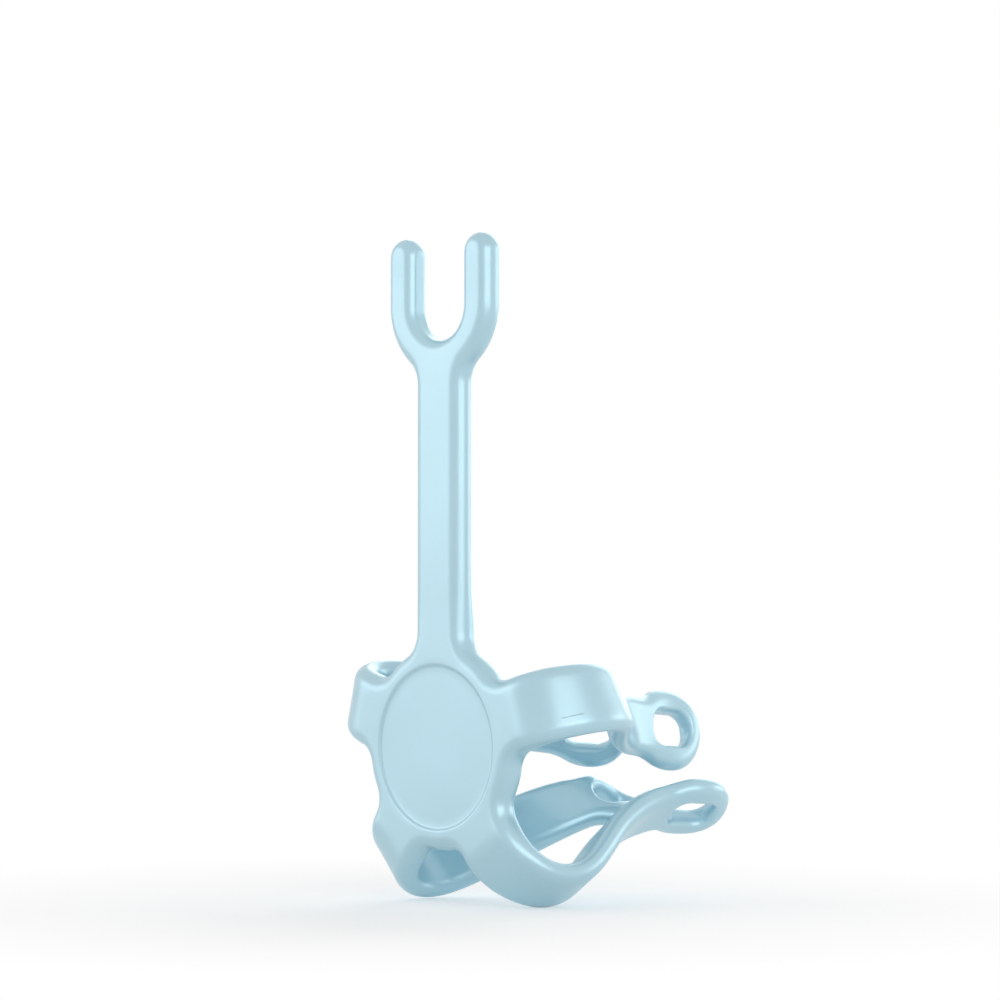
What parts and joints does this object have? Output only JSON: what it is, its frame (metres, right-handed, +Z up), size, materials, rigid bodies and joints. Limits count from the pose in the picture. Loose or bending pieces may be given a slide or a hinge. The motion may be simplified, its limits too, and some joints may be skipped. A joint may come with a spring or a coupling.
{
  "type": "flexible phone mount",
  "caption": "Soft silicone phone mount with bendable strap legs bent into a claw, eyelet pads at their ends, a round hub and a forked upright that holds a phone grip's neck.",
  "frame": {"origin": "centre of the hub's flat back face, on the hub's axis", "axes": "+Z up along the stem to the fork, +Y backwards out of the hub's back face towards the bent legs, +X to the right seen from the front"},
  "size_m": [0.0755, 0.0649, 0.1473],
  "materials": {
    "silicone": "satin moulded silicone, light blue",
    "core_plastic": "moulded nylon, inside the moulding",
    "soft_wire": "drawn soft wire, inside the moulding"
  },
  "bodies": {
    "root": {"silicone_body": "silicone", "hub_core": "core_plastic", "fork_frame": "core_plastic", "stem_wire": "soft_wire", "upper_left_wire": "soft_wire", "lower_left_wire": "soft_wire", "lower_right_wire": "soft_wire", "upper_right_wire": "soft_wire"}
  },
  "joints": []
}
